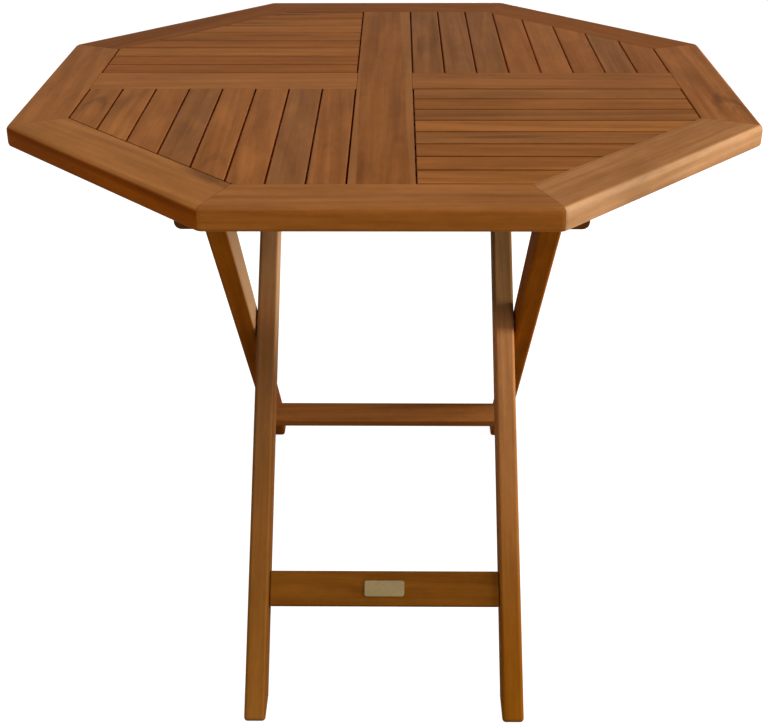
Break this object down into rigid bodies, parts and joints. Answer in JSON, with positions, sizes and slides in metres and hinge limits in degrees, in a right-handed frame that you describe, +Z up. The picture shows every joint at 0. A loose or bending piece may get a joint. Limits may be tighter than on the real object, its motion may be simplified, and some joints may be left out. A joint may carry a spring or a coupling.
{
  "type": "folding garden table",
  "caption": "Octagonal slatted wooden garden table on two crossing leg frames that fold flat under the top.",
  "frame": {"origin": "on the floor, under the middle of the top", "axes": "+Z up, the front of the table at -Y, the cross bolts along X"},
  "size_m": [0.9, 0.9, 0.75],
  "materials": {
    "teak": "oiled teak with straight and cathedral grain, eased edges",
    "brass": "dull turned brass",
    "plate": "bare bronze-coloured metal plate, satin"
  },
  "bodies": {
    "tabletop": {"rim_front": "teak", "rim_front_right": "teak", "rim_right": "teak", "rim_back_right": "teak", "rim_back": "teak", "rim_back_left": "teak", "rim_left": "teak", "rim_front_left": "teak", "centre_board": "teak", "cross_rail_left": "teak", "cross_rail_right": "teak", "slat_front_left_1": "teak", "slat_front_left_2": "teak", "slat_front_left_3": "teak", "slat_front_left_4": "teak", "slat_front_left_5": "teak", "slat_front_left_6": "teak", "slat_front_left_7": "teak", "slat_front_left_8": "teak", "slat_back_right_1": "teak", "slat_back_right_2": "teak", "slat_back_right_3": "teak", "slat_back_right_4": "teak", "slat_back_right_5": "teak", "slat_back_right_6": "teak", "slat_back_right_7": "teak", "slat_back_right_8": "teak", "slat_back_left_1": "teak", "slat_back_left_2": "teak", "slat_back_left_3": "teak", "slat_back_left_4": "teak", "slat_back_left_5": "teak", "slat_back_left_6": "teak", "slat_back_left_7": "teak", "slat_back_left_8": "teak", "slat_front_right_1": "teak", "slat_front_right_2": "teak", "slat_front_right_3": "teak", "slat_front_right_4": "teak", "slat_front_right_5": "teak", "slat_front_right_6": "teak", "slat_front_right_7": "teak", "slat_front_right_8": "teak", "batten_front": "teak", "batten_back": "teak", "hinge_cleat_left": "teak", "hinge_cleat_right": "teak", "catch_rail": "teak", "hinge_bolt_left": "brass", "hinge_bolt_right": "brass"},
    "outer_frame": {"outer_leg_left": "teak", "outer_leg_right": "teak", "outer_stretcher": "teak", "cross_bolt_left": "brass", "cross_bolt_right": "brass"},
    "inner_frame": {"inner_leg_left": "teak", "inner_leg_right": "teak", "inner_rail": "teak", "inner_top_bar": "teak", "name_plate": "plate"}
  },
  "joints": [
    {"name": "top_hinge", "type": "hinge", "parent": "tabletop", "child": "outer_frame", "pos_m": [0, -0.25213, 0.678], "axis": [1, 0, 0], "range_deg": [0, 47.8]},
    {"name": "cross_pivot", "type": "hinge", "parent": "outer_frame", "child": "inner_frame", "pos_m": [0, 0, 0.39637], "axis": [1, 0, 0], "range_deg": [-95.6, 0]}
  ],
  "couplings": [
    {"joint": "cross_pivot", "follows": "top_hinge", "ratio": -2}
  ]
}
